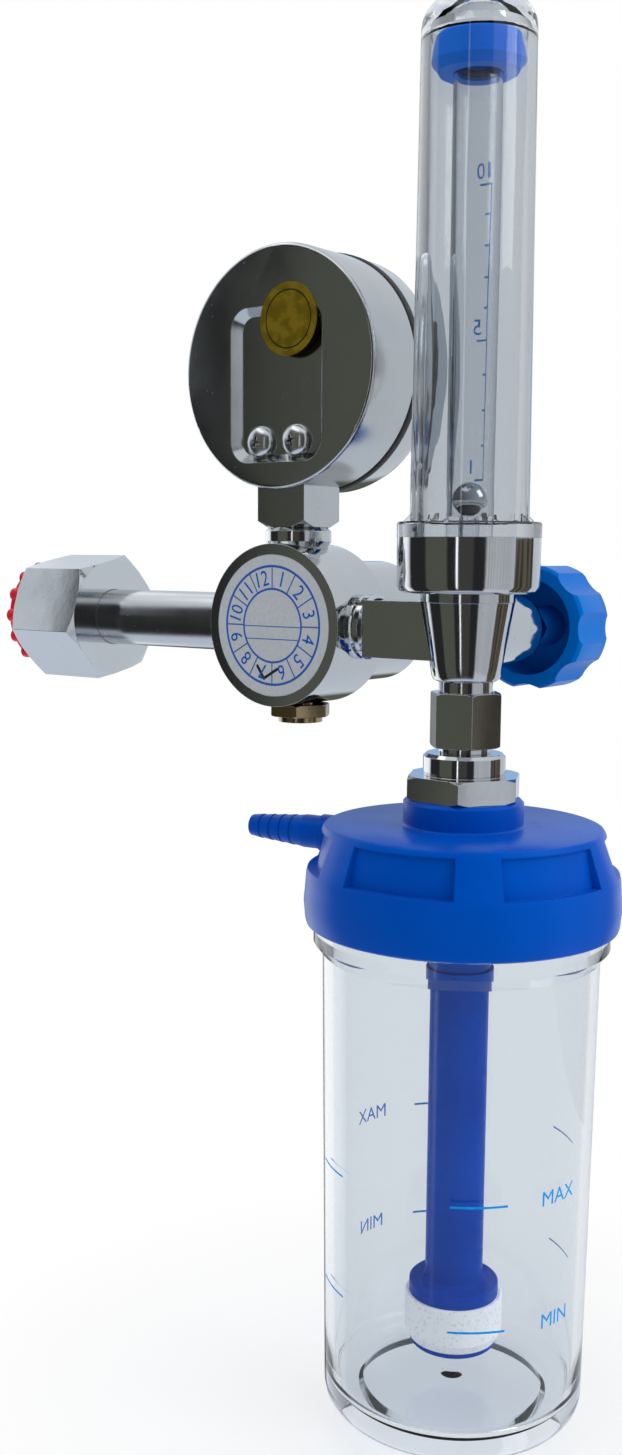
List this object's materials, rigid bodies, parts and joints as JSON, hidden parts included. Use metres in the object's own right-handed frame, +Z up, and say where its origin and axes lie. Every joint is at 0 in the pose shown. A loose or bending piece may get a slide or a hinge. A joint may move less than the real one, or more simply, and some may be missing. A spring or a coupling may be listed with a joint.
{
  "type": "oxygen flowmeter",
  "caption": "Wall oxygen flowmeter: inlet nut, pressure regulator with a round contents gauge, float tube with a control knob, and a screw-on bubble humidifier bottle with a hose barb.",
  "frame": {"origin": "on the inlet axis, at the outer end of the nut's thread", "axes": "+X out of the nut's mouth, +Z up along the float tube, and the dial and knob face -Y"},
  "size_m": [0.1861, 0.0835, 0.3397],
  "materials": {
    "chrome": "polished",
    "steel": "plain",
    "brass": "plain",
    "red_plastic": "glossy",
    "blue_plastic": "glossy",
    "clear_plastic": "clear",
    "clear_glass": "clear",
    "black_rubber": "matt",
    "white_foam": "porous",
    "grey_label": "printed",
    "yellow_label": "printed",
    "dial_white": "satin",
    "dial_black": "satin"
  },
  "bodies": {
    "meter": {"inlet_stem": "chrome", "regulator_body": "chrome", "front_bonnet": "chrome", "relief_body": "chrome", "relief_cap": "chrome", "gauge_case": "chrome", "gauge_socket": "chrome", "gauge_lock_ring": "chrome", "gauge_bezel": "chrome", "arm_lock_ring": "chrome", "flowmeter_body": "chrome", "gland_nut": "chrome", "outlet_nipple": "chrome", "union_nut": "chrome", "adjusting_screw": "steel", "spring_button": "steel", "main_spring": "steel", "poppet_spring": "steel", "relief_spring": "steel", "gauge_screws": "steel", "movement_frame": "steel", "inlet_filter": "brass", "valve_seat": "brass", "bourdon_tube": "brass", "tube_stopper": "blue_plastic", "bottle_lid": "blue_plastic", "dip_tube": "blue_plastic", "diffuser_plate": "blue_plastic", "tube_cover": "clear_plastic", "metering_tube": "clear_plastic", "gauge_glass": "clear_glass", "inlet_seal": "black_rubber", "gauge_gasket": "black_rubber", "packing_ring": "black_rubber", "stopper_o_ring": "black_rubber", "flange_seal": "black_rubber", "diffuser_foam": "white_foam", "date_label": "grey_label", "warning_label": "yellow_label", "gauge_dial": "dial_white", "dial_ring": "dial_black"},
    "nut": {"inlet_nut": "chrome"},
    "plug": {"thread_plug": "red_plastic"},
    "knob": {"flow_knob": "blue_plastic", "knob_screw": "steel", "knob_cap": "blue_plastic", "valve_spindle": "steel"},
    "needle_body": {"needle": "steel"},
    "ball": {"float_ball": "steel"},
    "pointer": {"gauge_pointer": "dial_black", "pinion_arbor": "steel"},
    "sector": {"sector_gear": "steel"},
    "link": {"tip_link": "steel"},
    "valve": {"valve_poppet": "brass", "diaphragm": "black_rubber", "diaphragm_plate": "steel"},
    "relief": {"relief_poppet": "brass"},
    "gasket": {"bottle_gasket": "black_rubber"},
    "bottle_body": {"bottle": "clear_plastic"}
  },
  "joints": [
    {"name": "inlet_nut_spin", "type": "hinge", "parent": "meter", "child": "nut", "pos_m": [-0.01, 0, 0], "axis": [1, 0, 0], "continuous": true},
    {"name": "plug_pull", "type": "slide", "parent": "nut", "child": "plug", "axis": [1, 0, 0], "range_m": [0, 0.06]},
    {"name": "knob_turn", "type": "hinge", "parent": "meter", "child": "knob", "pos_m": [-0.1359, -0.03, 0], "axis": [0, -1, 0], "range_deg": [0, 720]},
    {"name": "needle_travel", "type": "slide", "parent": "knob", "child": "needle_body", "axis": [0, -1, 0], "range_m": [0, 0.0012]},
    {"name": "ball_float", "type": "slide", "parent": "meter", "child": "ball", "axis": [0, 0, 1], "range_m": [0, 0.0888]},
    {"name": "pointer_turn", "type": "hinge", "parent": "meter", "child": "pointer", "pos_m": [-0.0845, -0.006, 0.0644], "axis": [0, 1, 0], "range_deg": [0, 270]},
    {"name": "sector_turn", "type": "hinge", "parent": "meter", "child": "sector", "pos_m": [-0.0845, -0.005, 0.0535], "axis": [0, 1, 0], "range_deg": [-54, 0]},
    {"name": "link_swing", "type": "hinge", "parent": "sector", "child": "link", "pos_m": [-0.0893, -0.005, 0.0535], "axis": [0, 1, 0], "range_deg": [0, 54]},
    {"name": "valve_lift", "type": "slide", "parent": "meter", "child": "valve", "axis": [0, 1, 0], "range_m": [0, 0.0005], "stiffness_N_per_m": 500},
    {"name": "relief_lift", "type": "slide", "parent": "meter", "child": "relief", "axis": [0, 0, -1], "range_m": [0, 0.001], "stiffness_N_per_m": 500, "springref_m": -0.0004},
    {"name": "bottle_turn", "type": "hinge", "parent": "meter", "child": "gasket", "pos_m": [-0.1359, 0, -0.06], "axis": [0, 0, -1], "range_deg": [0, 720]},
    {"name": "bottle_drop", "type": "slide", "parent": "gasket", "child": "bottle_body", "axis": [0, 0, -1], "range_m": [0, 0.008]}
  ],
  "couplings": [
    {"joint": "needle_travel", "follows": "knob_turn", "m_per_rad": 0.000095493},
    {"joint": "sector_turn", "follows": "pointer_turn", "ratio": -0.2},
    {"joint": "link_swing", "follows": "pointer_turn", "ratio": 0.2},
    {"joint": "bottle_turn", "follows": "bottle_drop", "rad_per_m": 1570.8}
  ]
}
